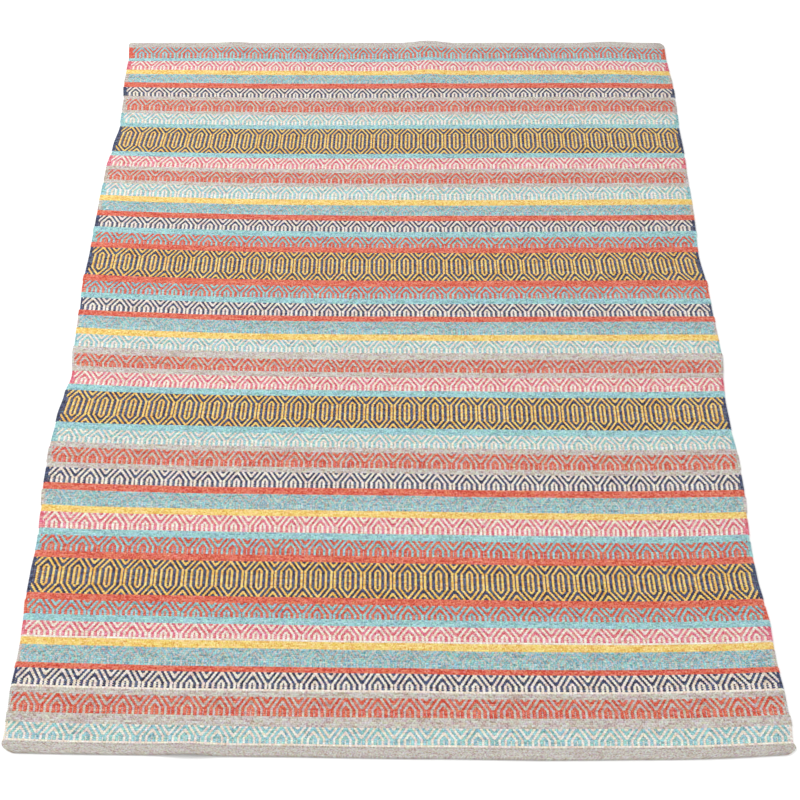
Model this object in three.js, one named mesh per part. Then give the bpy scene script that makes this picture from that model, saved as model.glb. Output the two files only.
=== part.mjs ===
// A flat-woven wool rug lying on a floor: one sheet of cloth with a hem turned under at each end.
// Millimetres. +X runs across the rug, +Y along it to the far end and +Z up from the floor.
import * as THREE from "three";

// Driving sizes
const nearEnd = -912;
const farEnd = 912;
const clothThickness = 4;
const hemDepth = 20;
const hemThickness = 3.4;
const creaseDepth = 0.7;
const creaseReach = 3;
const corners = { near: { left: 25, right: 22 }, far: { left: 6, right: 16 } };
const edgeRound = 1.4;
const acrossStep = 80;

// Where the two woven sides lie across the rug, from the near end to the far end
const sides = [
  { along: -912, left: -593, right: 608 },
  { along: -898, left: -595, right: 608 },
  { along: -886, left: -593, right: 604 },
  { along: -860, left: -593, right: 606 },
  { along: -800, left: -596, right: 605 },
  { along: -735, left: -594, right: 601 },
  { along: -670, left: -596, right: 602 },
  { along: -630, left: -599, right: 599 },
  { along: -575, left: -599, right: 595 },
  { along: -520, left: -597, right: 593 },
  { along: -455, left: -601, right: 596 },
  { along: -390, left: -606, right: 600 },
  { along: -310, left: -607, right: 600 },
  { along: -240, left: -604, right: 596 },
  { along: -185, left: -598, right: 595 },
  { along: -140, left: -592, right: 599 },
  { along: -70, left: -598, right: 605 },
  { along: 20, left: -600, right: 603 },
  { along: 110, left: -604, right: 602 },
  { along: 205, left: -602, right: 596 },
  { along: 330, left: -602, right: 601 },
  { along: 450, left: -601, right: 602 },
  { along: 530, left: -595, right: 604 },
  { along: 600, left: -588, right: 603 },
  { along: 690, left: -591, right: 606 },
  { along: 760, left: -597, right: 607 },
  { along: 830, left: -596, right: 603 },
  { along: 912, left: -602, right: 604 },
];

// How far a row of weaving runs ahead at five places across, a quarter of the width apart
const rows = [
  { along: -912, ahead: [15.5, 10.5, 6, 3, 11.5] },
  { along: -885, ahead: [14, 5.5, 1.5, -0.5, 8] },
  { along: -600, ahead: [17, 9, 3.5, -1.5, 3.5] },
  { along: -300, ahead: [19.5, 8, 3, -1.5, 1] },
  { along: 0, ahead: [21, 6, 1.5, 1.5, 2] },
  { along: 300, ahead: [18.5, 5.5, 1, 1.5, 4] },
  { along: 600, ahead: [10.5, 2, 2, 5, 4] },
  { along: 885, ahead: [4.5, 2.5, 1.5, 3.5, -1.5] },
  { along: 912, ahead: [0, 0, 0, 0, 0] },
];

// Low ripples where an end lifts off the floor: the crest's place and height, and how far it reaches
const ripples = [
  { end: "far", across: 73, high: 6, wide: 58, long: 240 },
  { end: "far", across: -364, high: 2.5, wide: 55, long: 130 },
  { end: "far", across: 477, high: 2.8, wide: 66, long: 210 },
  { end: "near", across: -310, high: 5, wide: 62, long: 95 },
];

// A value read from the rows of a table at a distance along the rug, eased between them
function valueAt(table, along, read) {
  const last = table.length - 1;
  if (along <= table[0].along) return read(table[0]);
  if (along >= table[last].along) return read(table[last]);
  const next = table.findIndex((row) => row.along > along);
  const before = table[next - 1];
  const after = table[next];
  const share = (along - before.along) / (after.along - before.along);
  const eased = share * share * (3 - 2 * share);
  return THREE.MathUtils.lerp(read(before), read(after), eased);
}

// How far a corner's arc draws a side in, close to either end
function cornerInset(along, side) {
  const radius = corners[along > 0 ? "far" : "near"][side];
  const fromEnd = Math.min(along - nearEnd, farEnd - along);
  const rise = Math.max(radius - fromEnd, 0);
  return radius - Math.sqrt(radius ** 2 - rise ** 2);
}

// How far a row has run ahead at a share of the width, by a smooth curve through its five places
function aheadAt(share, along) {
  const places = rows[0].ahead.map((_, place) => place);
  let ahead = 0;
  for (const place of places) {
    let weight = 1;
    for (const other of places) {
      if (other !== place) weight *= (share * (places.length - 1) - other) / (place - other);
    }
    ahead += weight * valueAt(rows, along, (row) => row.ahead[place]);
  }
  return ahead;
}

// One low bump: 1 at its crest, falling smoothly to 0 at its reach
function bump(distance, reach) {
  if (Math.abs(distance) >= reach) return 0;
  return Math.cos((Math.PI / 2) * (distance / reach)) ** 2;
}

// How high the ripples lift the cloth off the floor
function liftAt(across, along) {
  let lift = 0;
  for (const { end, across: crest, high, wide, long } of ripples) {
    const fromEnd = end === "far" ? farEnd - along : along - nearEnd;
    lift += high * bump(across - crest, wide) * bump(fromEnd, long);
  }
  return lift;
}

// The hem is thinner than the patterned cloth, with a soft crease where it is turned under
function thicknessAt(along) {
  const fromEnd = Math.min(along - nearEnd, farEnd - along);
  const fromCrease = Math.abs(fromEnd - hemDepth);
  const base = fromEnd < hemDepth ? hemThickness : clothThickness;
  return base - creaseDepth * bump(fromCrease, creaseReach);
}

// A point of the cloth at a share of its width and thickness, kept inside its outline by a margin
function clothPoint(share, along, level, margin) {
  const row = THREE.MathUtils.clamp(along, nearEnd + margin, farEnd - margin);
  const left = valueAt(sides, row, (side) => side.left) + cornerInset(row, "left") + margin;
  const right = valueAt(sides, row, (side) => side.right) - cornerInset(row, "right") - margin;
  const across = THREE.MathUtils.lerp(left, right, share);
  const height = liftAt(across, row) + thicknessAt(row) * level;
  return [across, row + aheadAt(share, row), height];
}

// Distances in rising order, leaving out any that fall within a least gap of the one before
function inOrder(distances, leastGap) {
  const sorted = [...distances].sort((a, b) => a - b);
  return sorted.filter((value, i) => i === 0 || value - sorted[i - 1] > leastGap);
}

// Shares of the width at which the cloth is worked out: even steps, and closer over each ripple
function acrossShares() {
  const left = sides[0].left;
  const width = sides[0].right - left;
  const stops = [];
  for (const { across, wide } of ripples) {
    for (const part of [-1, -0.5, 0, 0.5, 1]) stops.push(across + part * wide);
  }
  const count = Math.round(width / acrossStep);
  for (let i = 1; i < count; i += 1) {
    const stop = left + (width * i) / count;
    if (stops.every((taken) => Math.abs(taken - stop) > acrossStep / 3)) stops.push(stop);
  }
  const inner = inOrder(stops, 1).map((stop) => (stop - left) / width);
  return [0, ...inner, 1];
}

// Distances along the rug: the rows of the table, and closer over each corner, hem and ripple
function alongStops() {
  const stops = sides.map((row) => row.along);
  const fromEnds = [3, 7, hemDepth - creaseReach, hemDepth, hemDepth + creaseReach];
  for (const { long } of ripples) fromEnds.push(long / 2, long);
  for (const distance of fromEnds) stops.push(nearEnd + distance, farEnd - distance);
  return inOrder(stops, 2);
}

// The closed sheet: a top and an underside that meet at a rounded edge all round
function clothGeometry() {
  const shares = acrossShares();
  const stops = alongStops();
  const columns = shares.length;
  const stations = stops.length;
  const points = [];
  const triangles = [];

  const addFace = (level) => {
    const first = points.length;
    for (const along of stops) {
      for (const share of shares) points.push(clothPoint(share, along, level, edgeRound));
    }
    return (column, row) => first + row * columns + column;
  };
  const quad = (a, b, c, d) => triangles.push(a, b, c, a, c, d);

  const top = addFace(1);
  const underside = addFace(0);
  for (let row = 0; row < stations - 1; row += 1) {
    for (let column = 0; column < columns - 1; column += 1) {
      quad(top(column, row), top(column + 1, row), top(column + 1, row + 1), top(column, row + 1));
      quad(
        underside(column, row),
        underside(column, row + 1),
        underside(column + 1, row + 1),
        underside(column + 1, row)
      );
    }
  }

  // Once round the outline, anticlockwise from above
  const round = [];
  for (let column = 0; column < columns - 1; column += 1) round.push([column, 0]);
  for (let row = 0; row < stations - 1; row += 1) round.push([columns - 1, row]);
  for (let column = columns - 1; column > 0; column -= 1) round.push([column, stations - 1]);
  for (let row = stations - 1; row > 0; row -= 1) round.push([0, row]);

  const edge = points.length;
  for (const [column, row] of round) points.push(clothPoint(shares[column], stops[row], 0.5, 0));
  round.forEach((here, i) => {
    const after = (i + 1) % round.length;
    const next = round[after];
    quad(underside(...here), underside(...next), edge + after, edge + i);
    quad(edge + i, edge + after, top(...next), top(...here));
  });

  const geometry = new THREE.BufferGeometry();
  geometry.setAttribute("position", new THREE.Float32BufferAttribute(points.flat(), 3));
  geometry.setIndex(triangles);
  geometry.computeVertexNormals();
  return geometry;
}

const wool = new THREE.MeshStandardMaterial({ color: 0xa9a39b, roughness: 0.95, metalness: 0 });
const rug = new THREE.Mesh(clothGeometry(), wool);
rug.name = "rug";

const part = new THREE.Group();
part.add(rug);

export default part;
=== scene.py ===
"""A flat-woven wool rug with striped and patterned bands, lying on a pale floor.

Sizes of the cloth are millimetres, and MM turns them into metres. The rug is built as it is
woven: row by row from the far hem to the near one, each row with its two yarns and its shift
of the point twill.
"""
import math

import bpy
import numpy as np
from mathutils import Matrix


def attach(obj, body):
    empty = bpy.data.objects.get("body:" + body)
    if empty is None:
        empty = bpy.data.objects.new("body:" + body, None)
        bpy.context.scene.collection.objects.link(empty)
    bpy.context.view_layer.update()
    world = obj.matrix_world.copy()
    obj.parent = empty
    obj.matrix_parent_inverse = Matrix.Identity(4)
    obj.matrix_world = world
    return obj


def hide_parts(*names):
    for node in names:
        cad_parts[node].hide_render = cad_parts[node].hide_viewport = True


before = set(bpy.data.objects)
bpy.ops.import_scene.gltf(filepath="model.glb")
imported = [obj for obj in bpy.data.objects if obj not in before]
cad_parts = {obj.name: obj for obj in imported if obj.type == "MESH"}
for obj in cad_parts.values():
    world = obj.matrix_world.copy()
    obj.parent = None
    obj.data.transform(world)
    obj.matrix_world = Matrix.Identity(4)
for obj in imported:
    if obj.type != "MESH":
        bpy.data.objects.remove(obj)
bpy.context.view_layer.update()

MM = 0.001

# The cloth
END = 912.0
THICKNESS = 4.0
HEM_DEPTH = 20.0
HEM_THICKNESS = 3.4
CREASE_DEPTH = 0.7
CREASE_REACH = 3.0
CORNERS = {"near": (25.0, 22.0), "far": (6.0, 16.0)}
EDGE_ROUND = 1.6
WIDTH = 1201.0

# Unevenness of a row's place and of the thickness, and how large its patches are
ROW_WAVER = 0.6
ROW_PATCH = 70
BODY_WAVER = 0.15
BODY_PATCH = 45

# How far a stripe's edge is drawn in on average, and how much that varies between stripes
STEP_IN = 0.44
STEP_VARIES = 1.1

# How fast the sides' wandering fades towards the middle, as a power of the share
SIDE_FADE = 3

# The weave: a repeat of 22 warp ends, 24 times across, and a solid selvedge at each side
REPEAT_ENDS = 22
REPEATS = 24
REPEAT_WIDTH = 50.0
SELVEDGE_ENDS = 2.5
RIB_DEPTH = 0.18
HEM_RIB_DEPTH = 0.12
LOOP_DEPTH = 1.0

# Where the two woven sides lie across the rug: along, left, right
SIDES = (
    (-912, -593, 608),
    (-898, -595, 608),
    (-886, -593, 604),
    (-860, -593, 606),
    (-800, -596, 605),
    (-735, -594, 601),
    (-670, -596, 602),
    (-630, -599, 599),
    (-575, -599, 595),
    (-520, -597, 593),
    (-455, -601, 596),
    (-390, -606, 600),
    (-310, -607, 600),
    (-240, -604, 596),
    (-185, -598, 595),
    (-140, -592, 599),
    (-70, -598, 605),
    (20, -600, 603),
    (110, -604, 602),
    (205, -602, 596),
    (330, -602, 601),
    (450, -601, 602),
    (530, -595, 604),
    (600, -588, 603),
    (690, -591, 606),
    (760, -597, 607),
    (830, -596, 603),
    (912, -602, 604),
)

# How far a row of weaving runs ahead: along, then five places a quarter of the width apart
ROWS_AHEAD = (
    (-912, 15.5, 10.5, 6, 3, 11.5),
    (-885, 14, 5.5, 1.5, -0.5, 8),
    (-600, 17, 9, 3.5, -1.5, 3.5),
    (-300, 19.5, 8, 3, -1.5, 1),
    (0, 21, 6, 1.5, 1.5, 2),
    (300, 18.5, 5.5, 1, 1.5, 4),
    (600, 10.5, 2, 2, 5, 4),
    (885, 4.5, 2.5, 1.5, 3.5, -1.5),
    (912, 0, 0, 0, 0, 0),
)

# How far the warp has drifted from an even spacing: across, drift
WARP_DRIFT = (
    (-600, -1.5),
    (-450, 4),
    (-300, 4.5),
    (-150, 1),
    (0, -2.5),
    (150, 0),
    (300, 0),
    (450, -0.5),
    (600, 2),
)

# How far the warp sways aside besides: along, then the left side, middle and right side
WARP_SWAY = (
    (-912, -3, 0.5, 2),
    (-600, -1, -0.5, 0),
    (-300, 0.5, 0, 0.5),
    (0, -3, -2, 2),
    (300, 0.5, -1, 0),
    (600, 0, 1, 1),
    (912, 2.5, 2, -0.5),
)

# Low ripples where an end lifts off the floor: end, across, high, wide, long
RIPPLES = (
    (1, 73, 6.0, 58, 240),
    (1, -364, 2.5, 55, 130),
    (1, 477, 2.8, 66, 210),
    (-1, -310, 5.0, 62, 95),
)

# Yarn colours, as seen on screen
YARNS = {
    "red": (208, 107, 86),
    "yellow": (227, 196, 117),
    "gold": (228, 193, 116),
    "aqua": (150, 191, 194),
    "teal": (124, 182, 190),
    "grey": (190, 182, 175),
    "stone": (193, 186, 179),
    "lilac": (184, 178, 172),
    "navy": (74, 81, 110),
    "pink": (214, 124, 138),
    "cream": (224, 214, 203),
}

# How many beads a plain weave has to each warp end
BEADS = {"hem": 1.0, "plain": 0.5}

# How much further than half a float the first yarn's floats reach to each side, in warp ends
WIDER = {"lozenge": 0.2}

# How deep the hollows between a weave's yarns are, in relief and in the painted shade they get
HOLLOWS = {"hem": 0.4, "plain": 0.35, "arch": 1.0, "capped": 1.0, "mottle": 0.7, "lozenge": 1.0}

# The point twill's shift in a motif's opening rows
OPENING_SHIFTS = [5, 4, 3, 2, 1]

# The stripes from the far hem to the near one: weave, first yarn, second yarn, rows, height
STRIPES = (
    ("hem", "stone", "lilac", 9, 22),
    ("arch", "red", "aqua", 10, 41),
    ("plain", "aqua", "aqua", 3, 11),
    ("arch", "pink", "cream", 9, 33),
    ("plain", "yellow", "yellow", 4, 16),
    ("mottle", "grey", "teal", 8, 31),
    ("plain", "red", "red", 5, 18),
    ("arch", "navy", "cream", 9, 32),
    ("plain", "grey", "grey", 3, 12),
    ("arch", "grey", "red", 10, 39),
    ("plain", "grey", "grey", 3, 10),
    ("arch", "aqua", "cream", 9, 35),
    ("plain", "aqua", "aqua", 4, 13),
    ("lozenge", "navy", "gold", 23, 83),
    ("plain", "aqua", "aqua", 4, 15),
    ("arch", "pink", "cream", 9, 35),
    ("plain", "grey", "grey", 3, 12),
    ("arch", "grey", "red", 9, 34),
    ("plain", "grey", "grey", 3, 12),
    ("arch", "aqua", "cream", 10, 39),
    ("plain", "yellow", "yellow", 5, 17),
    ("mottle", "grey", "teal", 8, 31),
    ("plain", "red", "red", 4, 16),
    ("arch", "navy", "cream", 9, 33),
    ("plain", "aqua", "aqua", 4, 16),
    ("arch", "aqua", "red", 8, 31),
    ("plain", "red", "red", 4, 15),
    ("lozenge", "navy", "gold", 21, 79),
    ("plain", "red", "red", 5, 17),
    ("arch", "red", "aqua", 9, 33),
    ("plain", "aqua", "aqua", 4, 15),
    ("arch", "navy", "cream", 9, 34),
    ("plain", "red", "red", 4, 14),
    ("mottle", "grey", "teal", 9, 34),
    ("plain", "yellow", "yellow", 4, 16),
    ("arch", "aqua", "cream", 9, 32),
    ("plain", "grey", "grey", 5, 18),
    ("arch", "grey", "red", 8, 32),
    ("plain", "grey", "grey", 4, 13),
    ("arch", "pink", "cream", 9, 33),
    ("plain", "aqua", "aqua", 4, 15),
    ("lozenge", "navy", "gold", 21, 76),
    ("plain", "aqua", "aqua", 4, 15),
    ("arch", "aqua", "cream", 9, 31),
    ("plain", "grey", "grey", 3, 12),
    ("arch", "grey", "red", 9, 35),
    ("plain", "grey", "grey", 3, 12),
    ("arch", "navy", "cream", 9, 34),
    ("plain", "red", "red", 4, 15),
    ("mottle", "grey", "teal", 9, 34),
    ("plain", "yellow", "yellow", 4, 14),
    ("arch", "pink", "cream", 9, 35),
    ("plain", "aqua", "aqua", 4, 14),
    ("arch", "aqua", "red", 9, 33),
    ("plain", "red", "red", 4, 14),
    ("lozenge", "navy", "gold", 20, 71),
    ("plain", "red", "red", 4, 13),
    ("arch", "red", "aqua", 8, 28),
    ("plain", "aqua", "aqua", 4, 13),
    ("capped", "pink", "cream", 9, 31),
    ("plain", "yellow", "yellow", 4, 14),
    ("mottle", "grey", "teal", 9, 33),
    ("plain", "red", "red", 3, 10),
    ("capped", "navy", "cream", 9, 34),
    ("plain", "grey", "grey", 3, 10),
    ("arch", "grey", "red", 9, 34),
    ("plain", "grey", "grey", 5, 18),
    ("capped", "cream", "aqua", 9, 33),
    ("hem", "stone", "lilac", 9, 21),
)

# The mesh: each row's rib, as shares of the row's height and how far the rib has risen there,
# and the steps round the cloth's rim
RIB_PROFILE = ((0.0, 0.0), (0.33, 1.0), (0.67, 1.0))
STEPS = len(RIB_PROFILE)
RIM_STEPS = 5

# How wide the rim is when it is laid flat, in thicknesses of the cloth
RIM_UNROLLED = 1.3

# Columns across: each ripple's own, as parts of its width, and even ones clear of those
RIPPLE_PARTS = (-1, -0.6, -0.3, 0, 0.3, 0.6, 1)
COLUMN_SPAN = 1200.0
EVEN_COLUMNS = 16
COLUMN_GAP = 25

# The map to bake: the face fills its upper two thirds with the rug's length across it, and
# the underside lies below at half that scale
MAP_FILL = 0.98
MAP_SPARE = 8
FACE_MIDDLE = (0.5, 0.66)
UNDER_MIDDLE = (0.26, 0.17)
UNDER_SHARE = 0.5

# Twill floats: how many there are to a warp end, and where a chart starts
FLOATS_PER_END = 0.5
FLOAT_PAIR = 2 / FLOATS_PER_END
HALF_FLOAT = FLOAT_PAIR / 4
CHART_START = 1.5

# Where the shift changes: how far floats slant and how round a motif's points are
SLANT = 0.6
POINT_ROUNDING = 0.011

# How far a dark bead swells in mid-row and tapers towards the row's edges, and how much of
# each a slanting float loses, in warp ends
BEAD_SWELL = 0.38
SWELL_LOST = 0.33
BEAD_TAPER = 1.15
TAPER_LOST = 0.85

# Rows with more beads than this to a warp end are plain weave
FEWEST_BEADS = 0.1

# Noise over the cloth: how many turns of it there are to a warp end and to a row
GRAIN = {
    "wander": (0.4, 0.9),
    "speckles": (1.1, 1.6),
    "lumps": (0.9, 1.1),
    "streaks": (0.07, 3.7),
}
FIBRES = {"to_end": 0.9, "to_row": 5, "slant": 1.4, "scale": 1.6, "detail": 3.0}
WANDER = 0.8
SPECKLE_LAYER = 7.0
SPECKLE_LEVEL = 0.56

# Seams between beads and between rows: how sharp they are and how deep a hollow each makes,
# in relief and in painted shade
BEAD_SEAM = 4.0
ROW_SEAM = 3.0
BEAD_HOLLOW = 0.25
ROW_HOLLOW = 0.32

# How much each thing shades the yarn, and the share by which dark shades count more and
# light ones less. Slope is painted shade on slanting floats; the rest is the yarn's own uneven tone
SHADES = {"streaks": 1.2, "luck": 0.9, "lumps": 3.4, "fibres": 0.4, "slope": 0.15}
SHADE_LEAN = 0.35

# How far shade deepens a colour and dims it, with what the hollows' painted shade and plain
# weave dim besides
SHADE_DEEPENS = 0.55
SHADE_DIMS = 0.12
HOLLOW_PAINTED_SHADE = 0.3
PLAIN_DIMS = 0.055
HEATHER = 0.2

# The wool's surface: its relief in millimetres, its roughness and how much of that the
# fibres take off
FIBRE_RELIEF = 0.12
YARN_RELIEF = 0.6
ROUGHNESS = 0.98
FIBRE_GLOSS = 0.16

# The photograph's camera, for a rug one and a half times as long as it is wide
LENS = 73.0
SENSOR = 36
FAR_CLIP = 60
CAMERA_TILT = math.radians(90 - 47.61)
CAMERA_PLACE = (0.009, -2.149, 2.161)

# The studio: a floor just under the rug, its lengths in metres, and a bright backdrop
FLOOR_REACH = 14.0
FLOOR_DROP = 0.0002
FLOOR_SHADE = 0.92
FLOOR_ROUGHNESS = 0.9
BACKDROP = 0.75

# Lights: name, place and size in metres, power in watts
LIGHTS = (
    ("key", (-2.2, 1.0, 3.0), 2.4, 95),
    ("fill", (2.6, -2.0, 2.6), 3.0, 40),
)


def linear(rgb):
    """A screen colour as linear light, with alpha."""
    parts = []
    for part in rgb:
        part /= 255
        parts.append(part / 12.92 if part <= 0.04045 else ((part + 0.055) / 1.055) ** 2.4)
    return (*parts, 1.0)


# Shape

def column_at(table, column, along):
    """A column of a table at given values of its first column, eased between its rows."""
    stops = np.array([row[0] for row in table], float)
    values = np.array([row[column] for row in table], float)
    along = np.clip(along, stops[0], stops[-1])
    before = np.clip(np.searchsorted(stops, along, "right") - 1, 0, len(stops) - 2)
    share = (along - stops[before]) / (stops[before + 1] - stops[before])
    eased = share * share * (3 - 2 * share)
    return values[before] + (values[before + 1] - values[before]) * eased


def bump(distance, reach):
    """1 at a crest, falling smoothly to 0 at its reach."""
    return np.cos(math.pi / 2 * np.clip(distance / reach, -1, 1)) ** 2


def corner_inset(along, side):
    """How far a corner's arc draws the left or right side in, close to either end."""
    radius = np.where(along > 0, CORNERS["far"][side], CORNERS["near"][side])
    rise = np.clip(radius - (END - np.abs(along)), 0, radius)
    return radius - np.sqrt(radius**2 - rise**2)


def curve_at(table, share, along):
    """A smooth curve over the width through a table's places, which change along the rug."""
    places = len(table[0]) - 1
    total = 0.0
    for place in range(places):
        weight = 1.0
        for other in range(places):
            if other != place:
                weight = weight * (share * (places - 1) - other) / (place - other)
        total = total + weight * column_at(table, place + 1, along)
    return total


def lift_at(across, along):
    """How high the ripples lift the cloth off the floor."""
    lift = np.zeros(np.broadcast(across, along).shape)
    for end, crest, high, wide, long in RIPPLES:
        lift += high * bump(across - crest, wide) * bump(END - end * along, long)
    return lift


def thickness_at(along):
    """The hem is thinner than the patterned cloth, with a soft crease where it is turned under."""
    from_end = END - np.abs(along)
    base = np.where(from_end < HEM_DEPTH, HEM_THICKNESS, THICKNESS)
    return base - CREASE_DEPTH * bump(from_end - HEM_DEPTH, CREASE_REACH)


def waver(across, along, size):
    """A smooth unevenness between about -1 and 1, the same on every run.

    The waves come back together only beyond the rug's length."""
    x, y = across / size, along / size
    one = np.sin(1.9 * x + 1.4 * np.sin(1.1 * y + 0.7))
    two = np.sin(2.3 * y + 1.7 * np.sin(0.8 * x + 2.1))
    return (one + two) / 2


def side_step(stripe):
    """How far a stripe's edge is drawn in or stands out, a little different for each."""
    return STEP_IN + STEP_VARIES * np.sin(stripe * 2.4) * np.cos(stripe * 0.9)


def cloth_point(share, along, stripe, profile, margin, level):
    """Points of the cloth, at a share of its width and thickness, kept inside its outline.

    The warp follows the wandering sides, less and less towards the middle."""
    row = along * (1 - margin / END)
    drawn = margin + side_step(stripe) + LOOP_DEPTH * (1 - profile)
    left = column_at(SIDES, 1, row) + corner_inset(row, 0) + drawn + WIDTH / 2
    right = column_at(SIDES, 2, row) - corner_inset(row, 1) - drawn - WIDTH / 2
    wandering = left * (1 - share) ** SIDE_FADE + right * share**SIDE_FADE
    across = (share - 0.5) * WIDTH + wandering
    ahead = curve_at(ROWS_AHEAD, share, row) + ROW_WAVER * waver(across, row, ROW_PATCH)
    valley = (1 - profile) * np.where(END - np.abs(row) < HEM_DEPTH, HEM_RIB_DEPTH, RIB_DEPTH)
    body = thickness_at(row) - valley + BODY_WAVER * (waver(across, row, BODY_PATCH) - 1)
    height = lift_at(across, row) + body * level
    return np.stack(np.broadcast_arrays(across, row + ahead, height), -1) * MM


# Loom

def shifts_of(weave, count):
    """The point twill's shift in each row of a stripe, from its far edge."""
    steps = len(OPENING_SHIFTS)
    if weave in ("arch", "capped", "mottle"):
        return OPENING_SHIFTS + [0] * (count - steps)
    if weave == "lozenge":
        return OPENING_SHIFTS + [0] * (count - 2 * steps) + OPENING_SHIFTS[::-1]
    return [0] * count


def weave_rows():
    """Every row of weaving from the far end: where it starts, its height, yarns and shift."""
    rows = []
    start = END
    for stripe, (weave, first, second, count, height) in enumerate(STRIPES):
        shifts = shifts_of(weave, count)
        slopes = np.gradient(shifts)
        for i in range(count):
            closing = weave == "capped" and i == count - 1
            rows.append({
                "start": start - height * i / count,
                "height": height / count,
                "stripe": stripe,
                "shift": shifts[i],
                "slope": slopes[i],
                "mottle": float(weave == "mottle"),
                "beads": BEADS.get(weave, 0.0),
                "hollows": HOLLOWS[weave],
                "wider": WIDER.get(weave, 0.0),
                "rounded": 1.0 if sum(YARNS[first]) < sum(YARNS[second]) else -1.0,
                "first": "cream" if closing else first,
                "second": "cream" if closing else second,
            })
        start -= height
    return rows


def across_shares():
    """Shares of the width at which the cloth is worked out, closer over each ripple."""
    half = COLUMN_SPAN / 2
    stops = [crest + part * wide for _, crest, _, wide, _ in RIPPLES for part in RIPPLE_PARTS]
    for i in range(1, EVEN_COLUMNS):
        stop = COLUMN_SPAN * i / EVEN_COLUMNS - half
        if all(abs(stop - taken) > COLUMN_GAP for taken in stops):
            stops.append(stop)
    return np.array([0.0] + sorted((stop + half) / COLUMN_SPAN for stop in stops) + [1.0])


def stations_of(rows):
    """Each line of points across the cloth: along, stripe, rise of the rib and rows woven."""
    stations = []
    for i, row in enumerate(rows):
        for part, rise in RIB_PROFILE:
            stations.append((row["start"] - row["height"] * part, row["stripe"], rise, i + part))
    stations.append((-END, rows[-1]["stripe"], 0.0, len(rows)))
    return np.array(stations, float).T


def outline_of(columns, stations):
    """Once round the outline, anticlockwise from above, starting at the far left corner."""
    around = [(0, j) for j in range(stations)]
    around += [(i, stations - 1) for i in range(1, columns)]
    around += [(columns - 1, j) for j in range(stations - 2, -1, -1)]
    around += [(i, 0) for i in range(columns - 2, 0, -1)]
    return around


def cloth_mesh(rows):
    """The closed sheet, with a rib for each row of weft and a loop for it at each selvedge."""
    shares = across_shares()
    along, stripe, profile, woven = stations_of(rows)
    columns, stations = len(shares), len(along)

    points, looms, flats = [], [], []

    def add(i, j, margin, level, flat_margin):
        """Adds points at columns i and stations j, with their places on the loom and laid flat."""
        place = cloth_point(shares[i], along[j], stripe[j], profile[j], margin, level)
        even = (shares[i] - 0.5) * WIDTH
        drift = column_at(WARP_DRIFT, 1, even) + curve_at(WARP_SWAY, shares[i], along[j])
        ends = (even - drift) * REPEAT_ENDS / REPEAT_WIDTH
        flat = cloth_point(shares[i], along[j], stripe[j], profile[j], flat_margin, 0)[..., :2]
        first = sum(len(x) for x in points)
        points.append(place.reshape(-1, 3))
        looms.append(np.stack(np.broadcast_arrays(ends, woven[j]), -1).reshape(-1, 2))
        flats.append(flat.reshape(-1, 2))
        return first

    grid_j, grid_i = np.meshgrid(np.arange(stations), np.arange(columns), indexing="ij")
    add(grid_i, grid_j, EDGE_ROUND, 1.0, EDGE_ROUND)

    def top(i, j):
        return j * columns + i

    around = outline_of(columns, stations)
    ring_i = np.array([i for i, _ in around])
    ring_j = np.array([j for _, j in around])
    rings = [[top(i, j) for i, j in around]]
    for k in range(1, RIM_STEPS + 1):
        angle = math.pi * k / RIM_STEPS
        margin = EDGE_ROUND * (1 - math.sin(angle))
        unrolled = EDGE_ROUND - THICKNESS * RIM_UNROLLED * k / RIM_STEPS
        first = add(ring_i, ring_j, margin, (1 + math.cos(angle)) / 2, unrolled)
        rings.append(list(range(first, first + len(around))))

    # The underside has one step to a row
    under_j = list(range(0, stations, STEPS))
    inner_i = np.arange(1, columns - 1)
    mesh_j, mesh_i = np.meshgrid(np.array(under_j[1:-1]), inner_i, indexing="ij")
    inner = add(mesh_i, mesh_j, EDGE_ROUND, 0.0, EDGE_ROUND)
    bottom = {place: rings[-1][n] for n, place in enumerate(around)}

    def under(i, j):
        if (i, j) in bottom:
            return bottom[i, j]
        return inner + (j // STEPS - 1) * len(inner_i) + i - 1

    faces, face_row, face_under = [], [], []
    for j in range(stations - 1):
        for i in range(columns - 1):
            faces.append((top(i, j), top(i, j + 1), top(i + 1, j + 1), top(i + 1, j)))
            face_row.append(j // STEPS)
            face_under.append(0.0)
    last_row = len(rows) - 1
    for upper, lower in zip(rings, rings[1:]):
        for n, (_, j) in enumerate(around):
            after = (n + 1) % len(around)
            faces.append((lower[n], lower[after], upper[after], upper[n]))
            face_row.append(min(min(j, around[after][1]) // STEPS, last_row))
            face_under.append(0.0)
    for q, (j, next_j) in enumerate(zip(under_j, under_j[1:])):
        for i in range(columns - 1):
            face = [under(i, j), under(i + 1, j)]
            if i == columns - 2:
                face += [under(i + 1, between) for between in range(j + 1, next_j)]
            face += [under(i + 1, next_j), under(i, next_j)]
            if i == 0:
                face += [under(0, between) for between in range(next_j - 1, j, -1)]
            faces.append(tuple(face))
            face_row.append(q)
            face_under.append(1.0)

    mesh = bpy.data.meshes.new("rug_cloth")
    mesh.from_pydata(np.concatenate(points), [], faces)
    mesh.shade_smooth()
    store_weave(mesh, rows, face_row, face_under)
    store_maps(mesh, np.concatenate(looms), np.concatenate(flats), np.array(face_under))
    return mesh


def store_weave(mesh, rows, face_row, face_under):
    """Each face's row of weaving, as attributes that the material reads."""
    colours = {
        "chart": [(r["shift"], r["slope"], r["mottle"], r["beads"]) for r in rows],
        "first_yarn": [linear(YARNS[r["first"]]) for r in rows],
        "second_yarn": [linear(YARNS[r["second"]]) for r in rows],
    }
    for name, by_row in colours.items():
        values = np.array(by_row, np.float32)[face_row]
        mesh.attributes.new(name, "FLOAT_COLOR", "FACE").data.foreach_set("color", values.ravel())
    numbers = {
        "hollows": np.array([r["hollows"] for r in rows], np.float32)[face_row],
        "rounded": np.array([r["rounded"] for r in rows], np.float32)[face_row],
        "wider": np.array([r["wider"] for r in rows], np.float32)[face_row],
        "underside": np.array(face_under, np.float32),
    }
    for name, values in numbers.items():
        mesh.attributes.new(name, "FLOAT", "FACE").data.foreach_set("value", values)


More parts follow.
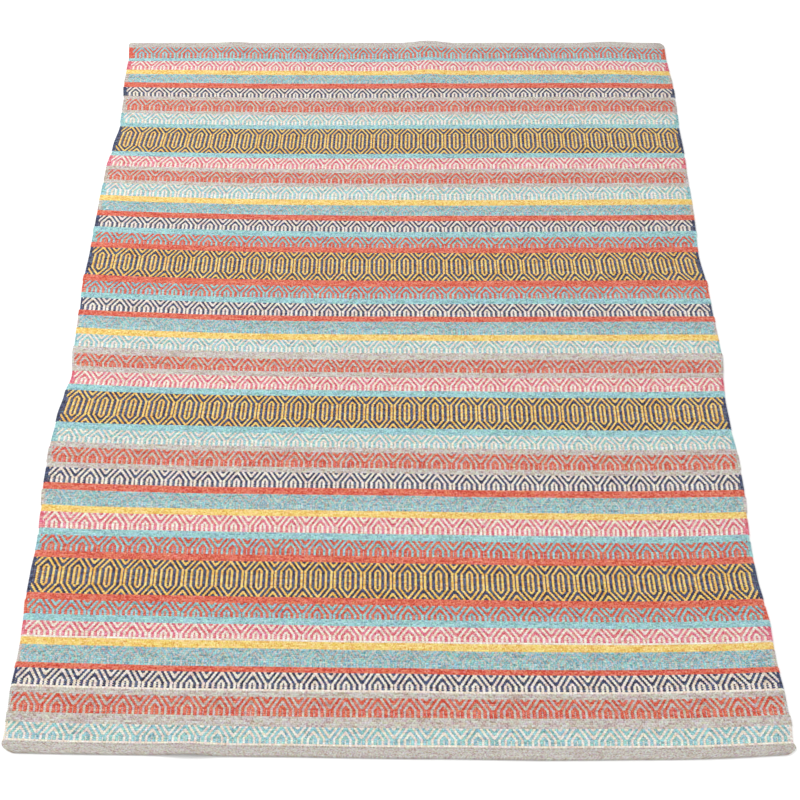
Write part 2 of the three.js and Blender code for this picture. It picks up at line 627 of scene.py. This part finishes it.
def store_maps(mesh, looms, flats, face_under):
    """Two maps: each point's warp end and row, and its place with the cloth laid flat to bake."""
    vertex = np.empty(len(mesh.loops), np.int32)
    mesh.loops.foreach_get("vertex_index", vertex)
    sizes = np.empty(len(mesh.polygons), np.int32)
    mesh.polygons.foreach_get("loop_total", sizes)
    below = np.repeat(face_under, sizes) > 0.5
    loom = mesh.uv_layers.new(name="loom")
    loom.data.foreach_set("uv", looms[vertex].astype(np.float32).ravel())

    # The underside's map is the face's turned over
    scale = MAP_FILL / (2 * (END + MAP_SPARE) * MM)
    flat = flats[vertex][:, ::-1]
    face_map = np.array(FACE_MIDDLE) + flat * (scale, -scale)
    under_map = np.array(UNDER_MIDDLE) + flat * (scale * UNDER_SHARE)
    bake = mesh.uv_layers.new(name="OFBake")
    placed = np.where(below[:, None], under_map, face_map)
    bake.data.foreach_set("uv", placed.astype(np.float32).ravel())
    mesh.uv_layers.active = loom


# Materials

class Signal:
    """A number that varies over a surface, joined to others by plain arithmetic."""

    def __init__(self, wiring, socket):
        self.wiring, self.socket = wiring, socket

    def __add__(self, other):
        return self.wiring.math("ADD", self, other)

    def __radd__(self, other):
        return self.wiring.math("ADD", other, self)

    def __sub__(self, other):
        return self.wiring.math("SUBTRACT", self, other)

    def __rsub__(self, other):
        return self.wiring.math("SUBTRACT", other, self)

    def __mul__(self, other):
        return self.wiring.math("MULTIPLY", self, other)

    def __mod__(self, other):
        return self.wiring.math("FLOORED_MODULO", self, other)

    def __lt__(self, other):
        return self.wiring.math("LESS_THAN", self, other)

    def __gt__(self, other):
        return self.wiring.math("GREATER_THAN", self, other)

    def __abs__(self):
        return self.wiring.math("ABSOLUTE", self)

    def floor(self):
        return self.wiring.math("FLOOR", self)

    def cosine(self):
        return self.wiring.math("COSINE", self)

    def arccosine(self):
        return self.wiring.math("ARCCOSINE", self)

    def power(self, exponent):
        return self.wiring.math("POWER", self, exponent)

    def larger(self, other):
        return self.wiring.math("MAXIMUM", self, other)


class Wiring:
    """Adds and joins the nodes of one material."""

    def __init__(self, name):
        self.material = bpy.data.materials.new(name)
        self.material.use_nodes = True
        self.tree = self.material.node_tree
        self.tree.nodes.clear()
        self.shader = self.node("ShaderNodeBsdfPrincipled")
        output = self.node("ShaderNodeOutputMaterial")
        self.tree.links.new(self.shader.outputs[0], output.inputs["Surface"])

    def node(self, kind, **settings):
        made = self.tree.nodes.new(kind)
        for name, value in settings.items():
            setattr(made, name, value)
        return made

    def feed(self, socket, value):
        if isinstance(value, Signal):
            self.tree.links.new(value.socket, socket)
        else:
            socket.default_value = value

    def math(self, operation, *values):
        made = self.node("ShaderNodeMath", operation=operation)
        for socket, value in zip(made.inputs, values):
            self.feed(socket, value)
        return Signal(self, made.outputs[0])

    def mix(self, share, low, high):
        """A number between two, by a share from 0 to 1."""
        made = self.node("ShaderNodeMix", data_type="FLOAT")
        for socket, value in zip(made.inputs[:1] + made.inputs[2:4], (share, low, high)):
            self.feed(socket, value)
        return Signal(self, made.outputs[0])

    def mix_colour(self, share, low, high, blend="MIX"):
        made = self.node("ShaderNodeMix", data_type="RGBA", blend_type=blend)
        for socket, value in zip((made.inputs[0], made.inputs[6], made.inputs[7]), (share, low, high)):
            self.feed(socket, value)
        return Signal(self, made.outputs[2])

    def vector(self, x, y, z=0.0):
        made = self.node("ShaderNodeCombineXYZ")
        for socket, value in zip(made.inputs, (x, y, z)):
            self.feed(socket, value)
        return Signal(self, made.outputs[0])

    def map_place(self, name):
        """The two numbers of a named map."""
        read = self.node("ShaderNodeUVMap", uv_map=name)
        split = self.node("ShaderNodeSeparateXYZ")
        self.tree.links.new(read.outputs[0], split.inputs[0])
        return Signal(self, split.outputs[0]), Signal(self, split.outputs[1])

    def attribute(self, name, output="Color"):
        read = self.node("ShaderNodeAttribute", attribute_name=name)
        return Signal(self, read.outputs[output])

    def split(self, colour):
        made = self.node("ShaderNodeSeparateColor")
        self.feed(made.inputs[0], colour)
        return [Signal(self, made.outputs[i]) for i in range(3)]

    def noise(self, vector, scale=1.0, detail=1.0):
        """Smooth noise from 0 to 1."""
        made = self.node("ShaderNodeTexNoise", noise_dimensions="3D")
        self.feed(made.inputs["Vector"], vector)
        self.feed(made.inputs["Scale"], scale)
        self.feed(made.inputs["Detail"], detail)
        return Signal(self, made.outputs["Fac"])

    def chance(self, vector):
        """A number from 0 to 1 and a colour, different for each whole place."""
        made = self.node("ShaderNodeTexWhiteNoise", noise_dimensions="3D")
        self.feed(made.inputs["Vector"], vector)
        return Signal(self, made.outputs["Value"]), Signal(self, made.outputs["Color"])

    def gamma(self, colour, exponent):
        made = self.node("ShaderNodeGamma")
        self.feed(made.inputs[0], colour)
        self.feed(made.inputs[1], exponent)
        return Signal(self, made.outputs[0])

    def bump(self, height, distance, under=None):
        made = self.node("ShaderNodeBump")
        self.feed(made.inputs["Height"], height)
        self.feed(made.inputs["Distance"], distance)
        if under is not None:
            self.feed(made.inputs["Normal"], under)
        return Signal(self, made.outputs[0])


def seam(place, sharpness):
    """0 over most of a bead's length and 1 at both of its ends."""
    return abs(place * 2 - 1).power(sharpness)


def grain(w, name, ends, rows, layer=0.0, **settings):
    """One of the noises over the cloth."""
    to_end, to_row = GRAIN[name]
    return w.noise(w.vector(ends * to_end, rows * to_row, layer), **settings)


def twill(w, end, in_row, along_seam, shift, slope):
    """Point twill: each place's step along its motif, and whether the first yarn shows there.

    The step is the distance from the motif's centre, moved on by the row's shift. Where the
    shift changes, the floats slant and the motif's points are rounded. Elsewhere the light
    yarn closes in between the dark beads."""
    half = REPEAT_ENDS / 2
    turn = (end * (math.pi / half)).cosine() * (1 - abs(slope) * POINT_ROUNDING)
    apart = half - turn.arccosine() * (half / math.pi)
    step = apart + shift + slope * (in_row - 0.5) * SLANT + CHART_START
    taper = along_seam * (BEAD_TAPER - abs(slope) * TAPER_LOST)
    spread = BEAD_SWELL - abs(slope) * SWELL_LOST - taper
    reach = w.attribute("rounded", "Fac") * spread + w.attribute("wider", "Fac") + HALF_FLOAT
    return step, abs(step % FLOAT_PAIR - HALF_FLOAT) < reach


def first_on_top(w, ends, rows, end, in_twill, is_plain, is_mottle):
    """1 where a row's first yarn lies on top, and 0 where its second one does.

    Mottled stripes swap the two in speckles, the underside shows the other yarn, and the
    selvedges are solid."""
    speckles = grain(w, "speckles", ends, rows, SPECKLE_LAYER)
    swapped = abs(in_twill - (speckles > SPECKLE_LEVEL))
    in_plain = ((end.floor() + rows.floor()) % 2.0) < 1.0
    shown = w.mix(is_plain, w.mix(is_mottle, in_twill, swapped), in_plain)
    shown = abs(shown - w.attribute("underside", "Fac"))
    return shown.larger(abs(ends) > REPEATS * REPEAT_ENDS / 2 - SELVEDGE_ENDS)


def wool_tone_and_painted_shade(w, ends, row, luck, lumps, fibres, slope):
    """The yarn's own uneven tone, changing along each row, from float to float and from lump to lump,
    with painted shade on slanting floats.
    """
    streaks = grain(w, "streaks", ends, row, detail=2.0)
    shade = (streaks - 0.5) * SHADES["streaks"] + (luck - 0.5) * SHADES["luck"]
    shade = shade + (lumps - 0.5) * SHADES["lumps"] + (fibres - 0.5) * SHADES["fibres"]
    # Slanting floats get painted shade, the more the steeper they slant
    return shade + abs(shade) * SHADE_LEAN + abs(slope) * SHADES["slope"]


def wool_colour(w, yarn, hue, shade, hollow, is_plain):
    """The yarn's colour, deeper and dimmer with painted shade in its hollows and on slanting floats,
    and where its own tone is darker.
    """
    # Painted shade: the hollows deepen the yarn's colour and dim it
    tinted = w.gamma(yarn, 1 + shade * SHADE_DEEPENS + hollow)
    heather = w.mix_colour(HEATHER, tinted, hue, "SOFT_LIGHT")
    light = 1 - is_plain * PLAIN_DIMS - hollow * HOLLOW_PAINTED_SHADE - shade * SHADE_DIMS
    return w.mix_colour(1.0, heather, w.vector(light, light, light), "MULTIPLY")


def wool_material():
    """Weft-faced wool: each row's two yarns float over pairs of warp ends, as its chart says."""
    w = Wiring("woven_wool")
    ends, rows = w.map_place("loom")
    shift, slope, is_mottle = w.split(w.attribute("chart"))
    beads = w.attribute("chart", "Alpha")
    is_plain = beads > FEWEST_BEADS
    row = rows.floor()
    in_row = rows % 1.0
    along_seam = seam(in_row, ROW_SEAM)

    # The yarns wander a little from the warp
    end = ends + (grain(w, "wander", ends, rows, detail=2.0) - 0.5) * WANDER
    step, in_twill = twill(w, end, in_row, along_seam, shift, slope)
    shown = first_on_top(w, ends, rows, end, in_twill, is_plain, is_mottle)
    yarn = w.mix_colour(shown, w.attribute("second_yarn"), w.attribute("first_yarn"))

    # Floats follow the twill, and in plain weave the beads of one row lie over the gaps of
    # the next. Each has its own luck and hue
    floats = step * FLOATS_PER_END
    bricks = end * beads + row * 0.5
    half = REPEAT_ENDS / 2
    bead = w.mix(is_plain, floats.floor(), bricks.floor())
    luck, hue = w.chance(w.vector(bead, row, ((end + half) * (1 / half)).floor()))

    # Hollows between the beads of yarn, bumped and given painted shade, lumps in it and fibres
    # that run round each one
    across_seam = seam(w.mix(is_plain, floats % 1.0, bricks % 1.0), BEAD_SEAM)
    hollow = w.attribute("hollows", "Fac") * (across_seam * BEAD_HOLLOW + along_seam * ROW_HOLLOW)
    lumps = grain(w, "lumps", ends, rows, detail=2.0)
    round_bead = w.vector(ends * FIBRES["to_end"], rows * FIBRES["to_row"] + ends * FIBRES["slant"])
    fibres = w.noise(round_bead, scale=FIBRES["scale"], detail=FIBRES["detail"])
    shade = wool_tone_and_painted_shade(w, ends, row, luck, lumps, fibres, slope)

    relief = w.bump(1 - hollow, YARN_RELIEF * MM, w.bump(fibres, FIBRE_RELIEF * MM))
    w.feed(w.shader.inputs["Base Color"], wool_colour(w, yarn, hue, shade, hollow, is_plain))
    w.feed(w.shader.inputs["Roughness"], ROUGHNESS - fibres * FIBRE_GLOSS)
    w.feed(w.shader.inputs["Normal"], relief)
    w.shader.inputs["Specular IOR Level"].default_value = 0.25
    w.shader.inputs["Sheen Weight"].default_value = 0.15
    w.shader.inputs["Sheen Roughness"].default_value = 0.5
    return w.material


def floor_material():
    w = Wiring("pale_floor")
    w.shader.inputs["Base Color"].default_value = (FLOOR_SHADE, FLOOR_SHADE, FLOOR_SHADE, 1.0)
    w.shader.inputs["Roughness"].default_value = FLOOR_ROUGHNESS
    return w.material


# Scene

def add_object(name, data):
    made = bpy.data.objects.new(name, data)
    bpy.context.scene.collection.objects.link(made)
    return made


def add_camera():
    data = bpy.data.cameras.new("camera")
    data.lens = LENS
    data.sensor_width = SENSOR
    data.clip_end = FAR_CLIP
    camera = add_object("camera", data)
    camera.location = CAMERA_PLACE
    camera.rotation_euler = (CAMERA_TILT, 0, 0)
    bpy.context.scene.camera = camera


def add_light(name, place, size, power):
    """A soft square light that faces the middle of the rug."""
    data = bpy.data.lights.new(name, "AREA")
    data.size = size
    data.energy = power
    light = add_object(name, data)
    light.location = place
    light.rotation_euler = (-light.location).to_track_quat("-Z", "Y").to_euler()


def add_studio():
    sides = [(-1, -1), (1, -1), (1, 1), (-1, 1)]
    corners = [(x * FLOOR_REACH, y * FLOOR_REACH, -FLOOR_DROP) for x, y in sides]
    mesh = bpy.data.meshes.new("floor")
    mesh.from_pydata(corners, [], [(0, 1, 2, 3)])
    mesh.materials.append(floor_material())
    add_object("floor", mesh)

    world = bpy.data.worlds.new("studio")
    world.use_nodes = True
    backdrop = world.node_tree.nodes["Background"]
    backdrop.inputs["Color"].default_value = (1.0, 1.0, 1.0, 1.0)
    backdrop.inputs["Strength"].default_value = BACKDROP
    scene = bpy.context.scene
    scene.world = world
    scene.view_settings.view_transform = "Standard"
    for light in LIGHTS:
        add_light(*light)


def add_rug():
    mesh = cloth_mesh(weave_rows())
    mesh.materials.append(wool_material())
    rug = add_object("rug_cloth", mesh)
    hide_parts("rug")
    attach(rug, "root")


add_camera()
add_studio()
add_rug()
